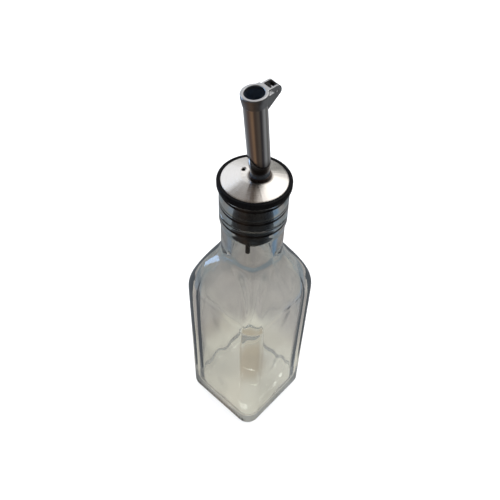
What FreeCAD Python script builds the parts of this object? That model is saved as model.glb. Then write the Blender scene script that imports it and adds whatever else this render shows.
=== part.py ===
import FreeCAD, Part
import math
import os
import Sketcher

# A square glass oil bottle with a push-in steel pourer.
# Millimetres, +Z up, origin at the middle of the base, pouring towards -Y.

doc = FreeCAD.newDocument("oil_bottle")
sheet = doc.addObject("Spreadsheet::Sheet", "Sizes")

sizes = {
    # glass bottle
    "body_side": 52.0,
    "body_corner": 7.7,
    "panel_height": 100.0,
    "shoulder_rise": 30.0,
    "neck_radius": 15.6,
    "neck_rise": 20.0,
    "finish_radius": 16.4,
    "finish_flare": 5.0,
    "finish_rise": 20.0,
    "band_drop": 14.6,
    "band_width": 1.2,
    "band_depth": 0.4,
    "mouth_radius": 10.5,
    "lip_round": 1.2,
    "wall": 3.0,
    "inner_corner": 11.0,
    "base_thickness": 6.0,
    "heel_round": 3.0,
    "punt_radius": 18.0,
    "punt_rise": 1.8,
    # stopper
    "flange_radius": 17.4,
    "flange_height": 3.0,
    "flange_round": 0.7,
    "rim_width": 1.75,
    "recess_depth": 1.0,
    "seal_clearance": 0.3,
    "fin_depth": 1.6,
    "fin_height": 2.6,
    "fin_edge": 1.5,
    "fin_spacing": 8.0,
    "first_fin_drop": 5.0,
    "plug_length": 23.0,
    "nose_rise": 12.0,
    "nose_radius": 4.6,
    "nose_swell": 1.4,
    "oil_channel_radius": 2.6,
    # vent through the stopper
    "vent_x": 3.4,
    "vent_y": -5.2,
    "vent_radius": 1.1,
    "vent_bore": 0.6,
    "vent_stub": 3.0,
    # steel cap
    "cap_clearance": 0.1,
    "cap_edge": 0.9,
    "cap_sheet": 0.6,
    "cap_rise": 2.6,
    "cap_swell": 0.1,
    "crown_radius": 6.5,
    "collar_wall": 0.55,
    "collar_rise": 1.6,
    "air_hole_x": -6.0,
    "air_hole_y": -1.8,
    "air_hole_radius": 0.9,
    # spout tube
    "spout_turn": -9.0,
    "lean": 6.5,
    "foot_x": 1.9,
    "foot_y": 1.5,
    "tube_radius": 5.05,
    "tube_bore": 4.2,
    "tube_rise": 44.0,
    "tube_depth": 8.0,
    "tube_foot_radius": 4.35,
    "swage_start": 2.0,
    "swage_length": 8.0,
    "press_clearance": 0.05,
    # cast spout tip with its slotted hinge lug
    "tip_height": 5.0,
    "tip_lip": 1.5,
    "tip_radius": 5.8,
    "tip_wall": 0.3,
    "tip_round": 0.5,
    "pin_reach": 8.9,
    "pin_drop": 2.5,
    "pin_radius": 0.75,
    "ear_round": 2.5,
    "ear_gap": 4.0,
    "ear_thickness": 0.9,
    "ear_root": 9.0,
    "web_wall": 0.4,
    "slot_end": 1.3,
    "gusset_half": 4.6,
    "gusset_drop": 0.8,
}
for row, (name, number) in enumerate(sizes.items(), start=1):
    sheet.set("A%d" % row, name)
    sheet.set("B%d" % row, str(number))
    sheet.setAlias("B%d" % row, name)
doc.recompute()


def size(words):
    """Put the sheet's name before each size in an expression."""
    return " ".join("Sizes." + word if word in sizes else word for word in words.split())


def value(words):
    """The number that an expression of sizes comes to now."""
    return float(sheet.evalExpression(size(words)))


# Heights up the bottle's axis
shoulder_top = "( panel_height + shoulder_rise )"
neck_top = "( panel_height + shoulder_rise + neck_rise )"
finish_foot = "( panel_height + shoulder_rise + neck_rise + finish_flare )"
lip = "( panel_height + shoulder_rise + neck_rise + finish_flare + finish_rise )"
flange_top = "( %s + flange_height )" % lip
seat = "( %s - recess_depth )" % flange_top
crown = "( %s + cap_edge + cap_rise )" % seat
plug_foot = "( %s - plug_length )" % lip
nose_foot = "( %s - nose_rise )" % plug_foot

# Radii that follow from the fits
core_radius = "( mouth_radius - seal_clearance - fin_depth )"
fin_radius = "( mouth_radius - seal_clearance )"
recess_radius = "( flange_radius - rim_width )"
cap_radius = "( %s - cap_clearance )" % recess_radius
socket_radius = "( tube_foot_radius + press_clearance )"
collar_radius = "( %s + collar_wall )" % socket_radius
tip_socket_radius = "( tube_radius + press_clearance )"

# As many sealing fins as the plug's straight length has room for
fin_room = value("plug_length - first_fin_drop - fin_height")
fin_count = int(fin_room / value("fin_spacing")) + 1


def frame(x, y, z, axis="0 ; 0 ; 1", angle="0"):
    """A frame moved by x, y and z, and turned about an axis by an angle in degrees."""
    place = "vector( %s ; %s ; %s )" % (x, y, z)
    turn = "rotation( vector( %s ) ; %s )" % (axis, angle)
    return "placement( %s ; %s )" % (place, turn)


def within(*frames):
    """The last frame, carried by those before it."""
    return " * ".join(frames)


# The pourer turns about the bottle's axis, the spout leans in it, and the tip is on the spout
pourer_frame = frame("0", "0", "0", angle="spout_turn")
spout_lean = frame("foot_x", "foot_y", crown, "1 ; 0 ; 0", "lean")
tube_foot = within(spout_lean, frame("0", "0", "0 - tube_depth"))
tip_place = frame("0", "0", "tube_rise + tip_lip - tip_height")
pin_height = "( tip_height - pin_drop )"
ear_span = "( ear_gap + 2 * ear_thickness )"
pin_line = frame("0 - %s / 2" % ear_span, "pin_reach", pin_height, "0 ; 1 ; 0", "90")


def make_body(name, place=None):
    body = doc.addObject("PartDesign::Body", name)
    body.Label = name
    if place:
        body.setExpression("Placement", size(place))
    return body


def origin_plane(body, role):
    return next(item for item in body.Origin.OriginFeatures if item.Role == role)


def new_sketch(body, name, role, height=None):
    sketch = body.newObject("Sketcher::SketchObject", name)
    sketch.AttachmentSupport = (origin_plane(body, role), [""])
    sketch.MapMode = "FlatFace"
    if height:
        sketch.setExpression("AttachmentOffset.Base.z", size(height))
    return sketch


def bind(sketch, constraint, words):
    """Add a dimension to a sketch and tie it to an expression of sizes."""
    mark = sketch.addConstraint(constraint)
    sketch.setExpression("Constraints[%d]" % mark, size(words))


def fix(sketch, kind, edge, end, words):
    """Hold one end of an edge at a distance from the sketch's origin."""
    if words == "0":
        axis = {"DistanceX": -2, "DistanceY": -1}[kind]
        sketch.addConstraint(Sketcher.Constraint("PointOnObject", edge, end, axis))
        return
    bind(sketch, Sketcher.Constraint(kind, -1, 1, edge, end, value(words)), words)


def outline_sketch(body, name, role, outline):
    """A closed outline of straight edges through points given as expressions."""
    sketch = new_sketch(body, name, role)
    points = [FreeCAD.Vector(value(across), value(along), 0) for across, along in outline]
    count = len(points)
    for i in range(count):
        sketch.addGeometry(Part.LineSegment(points[i], points[(i + 1) % count]), False)
    for i in range(count):
        sketch.addConstraint(Sketcher.Constraint("Coincident", i, 2, (i + 1) % count, 1))
    for i, (across, along) in enumerate(outline):
        fix(sketch, "DistanceX", i, 1, across)
        fix(sketch, "DistanceY", i, 1, along)
    return sketch


def turned(body, name, outline, kind="PartDesign::Revolution"):
    """Revolve an outline of (radius, height) pairs about the body's own axis."""
    sketch = outline_sketch(body, name + "_outline", "XZ_Plane", outline)
    feature = body.newObject(kind, name)
    feature.Profile = sketch
    feature.ReferenceAxis = (sketch, ["V_Axis"])
    feature.Angle = 360.0
    return feature


def cylinder(body, name, kind, radius, length, place):
    """A cylinder added to a body or cut from it, standing in a frame of its own."""
    feature = body.newObject("PartDesign::%sCylinder" % kind, name)
    feature.setExpression("Radius", size(radius))
    feature.setExpression("Height", size(length))
    feature.setExpression("Placement", size(place))


def rounded(body, name, feature, radius, wanted):
    """Round the feature's edges that the test picks out."""
    doc.recompute()
    edges = feature.Shape.Edges
    names = ["Edge%d" % i for i, edge in enumerate(edges, start=1) if wanted(edge)]
    fillet = body.newObject("PartDesign::Fillet", name)
    fillet.Base = (feature, names)
    fillet.setExpression("Radius", size(radius))
    return fillet


def is_ring(edge, radius, height):
    """Whether an edge is a circle about the axis with this radius and height."""
    curve = edge.Curve
    if not isinstance(curve, Part.Circle):
        return False
    at_radius = abs(curve.Radius - value(radius)) < 1e-4
    return at_radius and abs(curve.Center.z - value(height)) < 1e-4


# Sections of the bottle: a rounded square below, drawn in to a round neck
shoulder_steps = 4
panel_power = 1.54
corner_power = 2.0
sides = 4


def rounded_square(body, name, height, half, corner):
    """Four straight sides and four corner arcs, centred on the axis."""
    sketch = new_sketch(body, name, "XY_Plane", height)
    reach = value(half)
    arm = reach - value(corner)
    quarter = FreeCAD.Rotation(FreeCAD.Vector(0, 0, 1), 90)
    start, end = FreeCAD.Vector(reach, -arm, 0), FreeCAD.Vector(reach, arm, 0)
    middle = FreeCAD.Vector(arm, arm, 0)
    bulge = middle + FreeCAD.Vector(1, 1, 0).normalize() * value(corner)
    for _ in range(sides):
        following = quarter.multVec(start)
        sketch.addGeometry(Part.LineSegment(start, end), False)
        sketch.addGeometry(Part.Arc(end, bulge, following), False)
        start, end, bulge = following, quarter.multVec(end), quarter.multVec(bulge)
    edges = 2 * sides
    for i in range(edges):
        sketch.addConstraint(Sketcher.Constraint("Tangent", i, 2, (i + 1) % edges, 1))
    for i in (0, 4):
        sketch.addConstraint(Sketcher.Constraint("Symmetric", i, 1, i, 2, -1))
    for i in (2, 6):
        sketch.addConstraint(Sketcher.Constraint("Horizontal", i))
    for i in (3, 7):
        sketch.addConstraint(Sketcher.Constraint("Equal", 1, i))
    fix(sketch, "DistanceX", 0, 1, half)
    fix(sketch, "DistanceY", 2, 1, half)
    bind(sketch, Sketcher.Constraint("DistanceX", 4, 1, -1, 1, reach), half)
    bind(sketch, Sketcher.Constraint("Radius", 1, value(corner)), corner)
    return sketch


def round_section(body, name, height, radius):
    """A circle cut at eight places, to pair with the rounded squares' edges."""
    sketch = new_sketch(body, name, "XY_Plane", height)
    edges = 2 * sides
    reach = value(radius)
    half_side = math.atan(0.5)
    half_corner = math.pi / sides - half_side
    circle = Part.Circle(FreeCAD.Vector(), FreeCAD.Vector(0, 0, 1), reach)
    start = -half_side
    for i in range(edges):
        span = 2 * (half_corner if i % 2 else half_side)
        sketch.addGeometry(Part.ArcOfCircle(circle, start, start + span), False)
        start += span
    for i in range(edges):
        sketch.addConstraint(Sketcher.Constraint("Coincident", i, 2, (i + 1) % edges, 1))
    last = edges - 1
    for i in range(last):
        span = 2 * (half_corner if i % 2 else half_side)
        sketch.addConstraint(Sketcher.Constraint("Coincident", i, 3, -1, 1))
        sketch.addConstraint(Sketcher.Constraint("Angle", i, span))
    sketch.addConstraint(Sketcher.Constraint("Equal", 0, last))
    fix(sketch, "DistanceY", 0, 2, "%s * %.6f" % (radius, math.sin(half_side)))
    bind(sketch, Sketcher.Constraint("Radius", 0, reach), radius)
    return sketch


def shoulder(body, name, kind, half, corner, neck):
    """Loft from the square body to the round neck through sections between them."""
    diagonal = "( %s * sqrt(2) - %s * ( sqrt(2) - 1 ) )" % (half, corner)
    sections = []
    for step in range(shoulder_steps):
        way = step / shoulder_steps
        height = "( panel_height + shoulder_rise * %.4f )" % way
        panel = "( %s + ( %s - %s ) * %.5f )" % (neck, half, neck, 1 - way ** panel_power)
        edge = "( %s + ( %s - %s ) * %.5f )" % (neck, diagonal, neck, 1 - way ** corner_power)
        curve = "( ( %s * sqrt(2) - %s ) / ( sqrt(2) - 1 ) )" % (panel, edge)
        sections.append(rounded_square(body, "%s_%d" % (name, step), height, panel, curve))
    sections.append(round_section(body, name + "_neck", shoulder_top, neck))
    doc.recompute()
    loft = body.newObject("PartDesign::" + kind, name)
    loft.Profile = sections[0]
    loft.Sections = sections[1:]
    return loft


def extruded(body, name, sketch, kind, length, symmetric=False, reverse=False):
    doc.recompute()
    feature = body.newObject("PartDesign::" + kind, name)
    feature.Profile = sketch
    feature.setExpression("Length", size(length))
    feature.Midplane = symmetric
    feature.Reversed = reverse
    return feature


def make_bottle():
    body = make_body("glass_bottle")
    half = "( body_side / 2 )"
    foot = rounded_square(body, "foot", "0", half, "body_corner")
    panels = extruded(body, "panels", foot, "Pad", "panel_height")
    rounded(body, "heel", panels, "heel_round", lambda edge: edge.BoundBox.ZMax < 1e-6)
    shoulder(body, "shoulder", "AdditiveLoft", half, "body_corner", "neck_radius")
    band_top = "( %s - band_drop )" % lip
    band_foot = "( %s - band_width )" % band_top
    band_middle = "( %s - band_width / 2 )" % band_top
    neck = turned(body, "neck", [
        ("0", shoulder_top),
        ("neck_radius", shoulder_top),
        ("neck_radius", neck_top),
        ("finish_radius", finish_foot),
        ("finish_radius", band_foot),
        ("finish_radius - band_depth", band_middle),
        ("finish_radius", band_top),
        ("finish_radius", lip),
        ("0", lip),
    ])
    rounded(body, "lip", neck, "lip_round", lambda edge: is_ring(edge, "finish_radius", lip))
    inner_half = "( body_side / 2 - wall )"
    floor = rounded_square(body, "cavity_floor", "base_thickness", inner_half, "inner_corner")
    extruded(body, "cavity", floor, "Pocket", "panel_height - base_thickness", reverse=True)
    shoulder(body, "cavity_shoulder", "SubtractiveLoft", inner_half, "inner_corner", "mouth_radius")
    turned(body, "mouth", [
        ("0", shoulder_top),
        ("mouth_radius", shoulder_top),
        ("mouth_radius", lip),
        ("0", lip),
    ], "PartDesign::Groove")
    turned(body, "punt", [
        ("0", "0"),
        ("punt_radius", "0"),
        ("0", "punt_rise"),
    ], "PartDesign::Groove")
    return body


def make_stopper():
    body = make_body("stopper", pourer_frame)
    outline = [
        ("0", nose_foot),
        ("nose_radius", nose_foot),
        ("( nose_radius + %s ) / 2 + nose_swell" % core_radius, nose_foot + " + nose_rise / 2"),
        (core_radius, plug_foot),
    ]
    # sealing fins, the lowest first: a slanted underside and a flat top
    for fin in reversed(range(fin_count)):
        fin_top = "%s - first_fin_drop - fin_spacing * %d" % (lip, fin)
        outline += [
            (core_radius, fin_top + " - fin_height"),
            (fin_radius, fin_top + " - fin_edge"),
            (fin_radius, fin_top),
            (core_radius, fin_top),
        ]
    outline += [
        (core_radius, lip),
        ("flange_radius", lip),
        ("flange_radius", flange_top),
        (recess_radius, flange_top),
        (recess_radius, seat),
        ("0", seat),
    ]
    plug = turned(body, "plug", outline)
    rounded(body, "rim", plug, "flange_round",
            lambda edge: is_ring(edge, "flange_radius", flange_top))
    cylinder(body, "socket", "Subtractive", socket_radius, "tube_depth", tube_foot)
    length = "%s - %s" % (seat, nose_foot)
    cylinder(body, "oil_channel", "Subtractive", "oil_channel_radius", length,
             frame("foot_x / 2", "foot_y", nose_foot))
    cylinder(body, "vent_channel", "Subtractive", "vent_radius + press_clearance", length,
             frame("vent_x", "vent_y", nose_foot))
    return body


def make_vent_tube():
    body = make_body("vent_tube", within(pourer_frame, frame("vent_x", "vent_y", "0")))
    stub_foot = "%s - vent_stub" % nose_foot
    turned(body, "vent_wall", [
        ("vent_bore", stub_foot),
        ("vent_radius", stub_foot),
        ("vent_radius", seat),
        ("vent_bore", seat),
    ])
    return body


def make_cap():
    body = make_body("steel_cap", pourer_frame)
    edge_top = "( %s + cap_edge )" % seat
    inner_edge = "( %s - cap_sheet )" % cap_radius
    middle_radius = "( ( crown_radius + %s ) / 2 )" % cap_radius
    middle_height = "( ( %s + %s ) / 2 + cap_swell )" % (edge_top, crown)
    turned(body, "dome", [
        (inner_edge, seat),
        (cap_radius, seat),
        (cap_radius, edge_top),
        (middle_radius, middle_height),
        ("crown_radius", crown),
        ("0", crown),
        ("0", crown + " - cap_sheet"),
        ("crown_radius", crown + " - cap_sheet"),
        (middle_radius, middle_height + " - cap_sheet"),
        (inner_edge, edge_top + " - cap_sheet"),
    ])
    cylinder(body, "collar", "Additive", collar_radius, "collar_rise + cap_sheet",
             within(spout_lean, frame("0", "0", "0 - cap_sheet")))
    cylinder(body, "tube_hole", "Subtractive", socket_radius,
             "tube_depth + collar_rise + cap_sheet", tube_foot)
    cylinder(body, "air_hole", "Subtractive", "air_hole_radius",
             "recess_depth + cap_edge + cap_rise", frame("air_hole_x", "air_hole_y", seat))
    return body


def make_tube():
    body = make_body("spout_tube", within(pourer_frame, tube_foot))
    # the foot is swaged down to pass the cap and fit the stopper's socket
    foot_bore = "( tube_foot_radius - ( tube_radius - tube_bore ) )"
    swage_foot = "tube_depth + swage_start"
    swage_top = "tube_depth + swage_start + swage_length"
    tube_top = "tube_depth + tube_rise"
    turned(body, "tube_wall", [
        (foot_bore, "0"),
        ("tube_foot_radius", "0"),
        ("tube_foot_radius", swage_foot),
        ("tube_radius", swage_top),
        ("tube_radius", tube_top),
        ("tube_bore", tube_top),
        ("tube_bore", swage_top),
        (foot_bore, swage_foot),
    ])
    return body


def make_tip():
    body = make_body("spout_tip", within(pourer_frame, spout_lean, tip_place))
    # the lug starts within the ring's wall and runs down along the tube
    lug_foot = tip_socket_radius + " + tip_wall / 2"
    ears = outline_sketch(body, "ear_outline", "YZ_Plane", [
        (lug_foot, "tip_height - ear_root"),
        ("pin_reach", pin_height + " - ear_round"),
        ("pin_reach", pin_height + " + ear_round"),
        (lug_foot, "tip_height"),
    ])
    extruded(body, "ears", ears, "Pad", ear_span, symmetric=True)
    cylinder(body, "ear_ends", "Additive", "ear_round", ear_span, pin_line)
    # the lug widens to the ring's own width, just under the rim
    slot_foot = "tip_radius + web_wall"
    gusset = body.newObject("PartDesign::AdditiveWedge", "gusset")
    for name, words in {
        "Xmin": "tip_round - tip_radius",
        "Xmax": "tip_radius - tip_round",
        "Ymin": "0",
        "Ymax": slot_foot,
        "Zmin": "0",
        "Zmax": "tip_height - gusset_drop",
        "X2min": "0 - gusset_half",
        "X2max": "gusset_half",
        "Z2min": "0",
        "Z2max": "tip_height - gusset_drop",
    }.items():
        gusset.setExpression(name, size(words))
    # the slot runs from the ring past the pin, down to a floor under the pin, and leaves an end wall
    slot_floor = pin_height + " - ear_round + slot_end"
    slot_top = pin_height + " + 2 * ear_round"
    slot_wall = "pin_reach + ear_round - slot_end"
    slot = outline_sketch(body, "slot_outline", "YZ_Plane", [
        (slot_foot, slot_floor),
        (slot_wall, slot_floor),
        (slot_wall, slot_top),
        (slot_foot, slot_top),
    ])
    extruded(body, "slot", slot, "Pocket", "ear_gap", symmetric=True)
    cylinder(body, "pin_holes", "Subtractive", "pin_radius + press_clearance", ear_span, pin_line)
    turned(body, "collar_wall", [
        (tip_socket_radius, "0"),
        (tip_socket_radius + " + tip_wall", "0"),
        ("tip_radius", "tip_height - tip_lip"),
        ("tip_radius", "tip_height - tip_round"),
        ("tip_radius - tip_round", "tip_height"),
        ("tube_bore", "tip_height"),
        ("tube_bore", "tip_height - tip_lip"),
        (tip_socket_radius, "tip_height - tip_lip"),
    ])
    cylinder(body, "tip_socket", "Subtractive", tip_socket_radius, "tip_height - tip_lip",
             frame("0", "0", "0"))
    cylinder(body, "tip_mouth", "Subtractive", "tube_bore", "tip_height", frame("0", "0", "0"))
    return body


def make_pin():
    pin = doc.addObject("Part::Cylinder", "hinge_pin")
    pin.Label = "hinge_pin"
    pin.setExpression("Radius", size("pin_radius"))
    pin.setExpression("Height", size(ear_span))
    pin.setExpression("Placement", size(within(pourer_frame, spout_lean, tip_place, pin_line)))
    return pin


pieces = [
    make_bottle(),
    make_stopper(),
    make_vent_tube(),
    make_cap(),
    make_tube(),
    make_tip(),
    make_pin(),
]
doc.recompute()

for item in doc.Objects:
    faults = [word for word in item.State if word in ("Invalid", "Error")]
    if faults:
        raise RuntimeError("%s: %s" % (item.Label, faults))
for piece in pieces:
    shape = piece.Shape
    if shape.isNull() or not shape.isValid() or len(shape.Solids) != 1:
        raise RuntimeError("%s has no single valid solid" % piece.Label)

os.makedirs("parts", exist_ok=True)
for piece in pieces:
    piece.Shape.exportStep("parts/%s.step" % piece.Label)
    box = piece.Shape.BoundBox
    print("%-14s %9.1f mm3  z %.2f to %.2f" % (piece.Label, piece.Shape.Volume, box.ZMin, box.ZMax))
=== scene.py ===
import bmesh
import bpy
import math
from mathutils import Matrix, Quaternion, Vector


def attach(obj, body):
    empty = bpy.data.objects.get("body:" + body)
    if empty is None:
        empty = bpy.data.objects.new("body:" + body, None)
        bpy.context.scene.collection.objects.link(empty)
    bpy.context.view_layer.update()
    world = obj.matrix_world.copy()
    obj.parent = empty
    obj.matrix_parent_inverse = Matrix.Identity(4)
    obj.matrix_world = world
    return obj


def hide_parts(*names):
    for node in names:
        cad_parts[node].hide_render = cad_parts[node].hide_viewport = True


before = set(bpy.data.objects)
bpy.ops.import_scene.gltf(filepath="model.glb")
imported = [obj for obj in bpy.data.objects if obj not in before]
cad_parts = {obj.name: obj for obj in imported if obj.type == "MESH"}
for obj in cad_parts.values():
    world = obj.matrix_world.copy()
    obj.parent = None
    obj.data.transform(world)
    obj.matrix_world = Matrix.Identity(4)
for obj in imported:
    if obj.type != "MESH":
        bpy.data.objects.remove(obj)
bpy.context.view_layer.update()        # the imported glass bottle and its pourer
mm = 0.001
fullTurn = 2 * math.pi
quarterTurn = math.pi / 2
sharpEdge = 30           # degrees between two faces, past which an edge stays sharp
spare = 2                # mm that a cutter stands out of what it cuts
bpy.context.scene.view_settings.view_transform = "Standard"
print("frame loaded:", sorted(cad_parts))


# Camera, at the photograph's place

cameraSizes = {
    "place": (130.76, -152.07, 359.05),   # mm, in the bottle's frame
    "target": (-0.63, -0.54, 129.13),
    "roll": 2.314,                        # degrees
    "lens": 43.05,
    "sensor": 36,
    "near": 0.01,                         # m, where the view starts
}


def setCamera(s):
    place = Vector(s["place"]) * mm
    aim = Vector(s["target"]) * mm - place
    bpy.ops.object.camera_add(location=place)
    camera = bpy.context.object
    camera.name = "photoCamera"
    roll = Quaternion((0, 0, 1), math.radians(s["roll"]))
    camera.rotation_mode = "QUATERNION"
    camera.rotation_quaternion = aim.to_track_quat("-Z", "Y") @ roll
    camera.data.lens = s["lens"]
    camera.data.sensor_width = s["sensor"]
    camera.data.clip_start = s["near"]
    bpy.context.scene.camera = camera


setCamera(cameraSizes)
print("camera set")


# Modelling by rings: a circle is extruded in edit mode, and each new ring is set to its shape

def startRings(name, count, radius, height):
    # a filled disc, with its rim selected
    bpy.ops.object.select_all(action="DESELECT")
    bpy.ops.mesh.primitive_circle_add(vertices=count, radius=radius * mm, fill_type="TRIFAN")
    piece = bpy.context.object
    piece.name = piece.data.name = name
    bpy.ops.object.mode_set(mode="EDIT")
    bpy.ops.mesh.select_mode(type="EDGE")
    bpy.ops.mesh.select_all(action="SELECT")
    bpy.ops.transform.translate(value=(0, 0, height * mm))
    mesh = bmesh.from_edit_mesh(piece.data)
    for edge in mesh.edges:
        edge.select_set(edge.is_boundary)
    mesh.select_flush_mode()
    bmesh.update_edit_mesh(piece.data)
    return piece


def addRing(piece, shape):
    # shape gives the radius and the height, in mm, for the angle of each point of the new ring
    bpy.ops.mesh.extrude_region_move(TRANSFORM_OT_translate={"value": (0, 0, 0)})
    mesh = bmesh.from_edit_mesh(piece.data)
    for point in mesh.verts:
        if point.select:
            angle = math.atan2(point.co.y, point.co.x)
            radius, height = shape(angle)
            point.co = Vector((radius * math.cos(angle), radius * math.sin(angle), height)) * mm
    bmesh.update_edit_mesh(piece.data)


def endMesh(piece, smoothAngle=None):
    bpy.ops.mesh.select_mode(type="VERT")
    bpy.ops.mesh.select_all(action="SELECT")
    bpy.ops.mesh.remove_doubles(threshold=1e-7)
    bpy.ops.mesh.normals_make_consistent(inside=False)
    bpy.ops.object.mode_set(mode="OBJECT")
    if smoothAngle:
        bpy.ops.object.shade_smooth_by_angle(angle=math.radians(smoothAngle))
    else:
        bpy.ops.object.shade_smooth()
    return piece


def arcPoints(middle, radius, start, end, count):
    # points of an arc in the (radius, height) plane, angles in degrees
    points = []
    for i in range(count + 1):
        turn = math.radians(start + (end - start) * i / count)
        points.append((middle[0] + radius * math.cos(turn), middle[1] + radius * math.sin(turn)))
    return points


def spinOutline(name, outline, steps):
    # draws half a section point by point and spins it round the Z axis
    bpy.ops.object.select_all(action="DESELECT")
    bpy.ops.mesh.primitive_plane_add(size=mm)
    piece = bpy.context.object
    piece.name = piece.data.name = name
    bpy.ops.object.mode_set(mode="EDIT")
    bpy.ops.mesh.select_mode(type="VERT")
    bpy.ops.mesh.select_all(action="SELECT")
    bpy.ops.mesh.merge(type="CENTER")
    last = (0, 0)
    for i, (radius, height) in enumerate(outline):
        step = ((radius - last[0]) * mm, 0, (height - last[1]) * mm)
        last = (radius, height)
        if i == 0:
            bpy.ops.transform.translate(value=step)
        else:
            bpy.ops.mesh.extrude_vertices_move(TRANSFORM_OT_translate={"value": step})
    bpy.ops.mesh.select_all(action="SELECT")
    bpy.ops.mesh.spin(steps=steps, angle=fullTurn, center=(0, 0, 0), axis=(0, 0, 1))
    return endMesh(piece, sharpEdge)


def closed(outline):
    return outline + outline[:1]


def easeIn(way):
    # from 0 to 1, level at both ends
    return way * way * (3 - 2 * way)


def pick(*pieces):
    # the first piece is the active one
    bpy.ops.object.select_all(action="DESELECT")
    for piece in pieces:
        piece.select_set(True)
    bpy.context.view_layer.objects.active = pieces[0]


def movePiece(piece, matrix):
    # the place goes into the mesh, so the object stays at the origin
    pick(piece)
    piece.matrix_world = matrix @ piece.matrix_world
    bpy.ops.object.transform_apply(location=True, rotation=True, scale=True)
    return piece


def applyModifier(piece, kind, **settings):
    pick(piece)
    modifier = piece.modifiers.new(kind.lower(), kind)
    for key, setting in settings.items():
        setattr(modifier, key, setting)
    bpy.ops.object.modifier_apply(modifier=modifier.name)


def combine(piece, other, operation):
    applyModifier(piece, "BOOLEAN", object=other, operation=operation, solver="EXACT")
    bpy.data.objects.remove(other)


def addCylinder(radius, foot, length, matrix=Matrix(), top=None, sides=64):
    # a plain round bar or cone, used as a cutter
    bpy.ops.object.select_all(action="DESELECT")
    middle = Vector((foot[0], foot[1], foot[2] + length / 2)) * mm
    upper = radius if top is None else top
    bpy.ops.mesh.primitive_cone_add(vertices=sides, radius1=radius * mm, radius2=upper * mm,
                                    depth=length * mm, location=middle)
    return movePiece(bpy.context.object, matrix)


# The pourer's own frames: turned in the neck, with the spout leaning in it

pourerSizes = {
    "lip": 175.0,         # height of the glass lip
    "turn": -9.0,         # degrees
    "lean": 6.5,
    "foot": (1.9, 1.5),   # where the spout stands on the cap
    "crown": 180.5,       # height of the cap's crown
    "tubeRise": 44.0,
    "tubeDepth": 8.0,
    "tipHeight": 5.0,
    "tipLip": 1.5,
}
pourerFrame = Matrix.Rotation(math.radians(pourerSizes["turn"]), 4, "Z")
spoutFoot = Vector((*pourerSizes["foot"], pourerSizes["crown"])) * mm
spoutLean = Matrix.Rotation(math.radians(pourerSizes["lean"]), 4, "X")
spoutFrame = pourerFrame @ Matrix.Translation(spoutFoot) @ spoutLean
tipFoot = (pourerSizes["tubeRise"] + pourerSizes["tipLip"] - pourerSizes["tipHeight"]) * mm
tipFrame = spoutFrame @ Matrix.Translation((0, 0, tipFoot))


# Glass bottle

bottleSizes = {
    "half": 26.0,
    "corner": 7.7,
    "innerHalf": 23.0,
    "innerCorner": 6.6,
    "thickCorner": 10.5,     # inside of the two corners where the glass ran thick
    "panelTop": 100.0,
    "shoulderRise": 30.0,
    "panelPower": 1.54,
    "cornerPower": 2.0,
    "neckRadius": 15.6,
    "neckFoot": 9.0,         # above the shoulder, where the neck runs straight
    "neckTop": 150.0,
    "flareLead": 1.0,        # the last plain ring's place, below the flare
    "finishRadius": 16.4,
    "finishFoot": 155.0,
    "groove": 159.8,         # middle of the line round the finish
    "grooveHalf": 0.6,
    "grooveDepth": 0.4,
    "mouthRadius": 10.5,
    "boreTop": 163.0,        # where the plain bore starts, below the rounded mouth
    "lip": pourerSizes["lip"],
    "lipRound": 1.2,
    "mouthRound": 0.8,
    "heel": 2.2,
    "ripple": 0.08,          # unevenness of the blown inner wall
    "cornerRipple": 0.12,    # the same, in two of the corners
    # waves in the wall: share, waves in a full turn, mm up for each radian, start
    "wallWaves": ((1.0, 3, 7.5, 0), (0.7, -4, 5.0, 1), (1.0, 5, 11.0, 0), (0.5, 9, -16.0, 2)),
    "cornerWaves": ((1.0, 14, 30.0, 0), (0.6, 23, -18.0, 0)),
    "deepen": 10.0,          # above the panels, where the waves come to three times their depth
    "rippleFade": 6.0,       # from the bore outwards, where they come to their full depth
    "floorRipple": 0.06,
    "floorPitch": (0.8, 0.9),
    "floorSway": 2.0,        # how far the floor's ripples wander
    "puntRadius": 18.0,
    "puntRise": 1.8,
    "base": 5.2,             # thickness of the base at the walls
    "floorRound": 5.0,
    "floorRise": 2.0,
    "junction": 3.2,         # how softly the shoulder runs into the neck
    "innerJunction": 4.5,
    "junctionSwing": 0.65,   # gentler above the panels, tighter above the corners
    "softStart": 0.08,       # how softly the panels run into the shoulder
    "sidePoints": 36,
    "cornerPoints": 24,
}


def softMax(a, b, blend):
    near = max(blend - abs(a - b), 0) / blend
    return max(a, b) + near * near * blend / 4


def foldAngle(angle):
    # angle from the middle of the nearest side
    return abs((angle + quarterTurn / 2) % quarterTurn - quarterTurn / 2)


def fromPanel(angle):
    # 0 at the middle of a side, 1 at a corner
    return foldAngle(angle) / (quarterTurn / 2)


def squareRadius(angle, half, corner):
    folded = foldAngle(angle)
    arm = half - corner
    if math.tan(folded) * half <= arm:
        return half / math.cos(folded)
    middle = arm * math.sqrt(2)
    off = quarterTurn / 2 - folded
    return middle * math.cos(off) + math.sqrt(corner ** 2 - (middle * math.sin(off)) ** 2)


def shoulderRadius(s, angle, height, half, corner, neck, junction):
    climb = (height - s["panelTop"]) / s["shoulderRise"]
    way = (climb + math.hypot(climb, s["softStart"])) / 2
    diagonal = half * math.sqrt(2) - corner * (math.sqrt(2) - 1)
    panel = neck + (half - neck) * (1 - way ** s["panelPower"])
    reach = neck + (diagonal - neck) * (1 - way ** s["cornerPower"])
    curve = (panel * math.sqrt(2) - reach) / (math.sqrt(2) - 1)
    return softMax(squareRadius(angle, panel, curve), neck, junction)


def outerCorner(s, angle):
    return s["corner"]


def innerCorner(s, angle):
    return s["thickCorner"] if math.sin(2 * angle) > 0 else s["innerCorner"]


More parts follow.
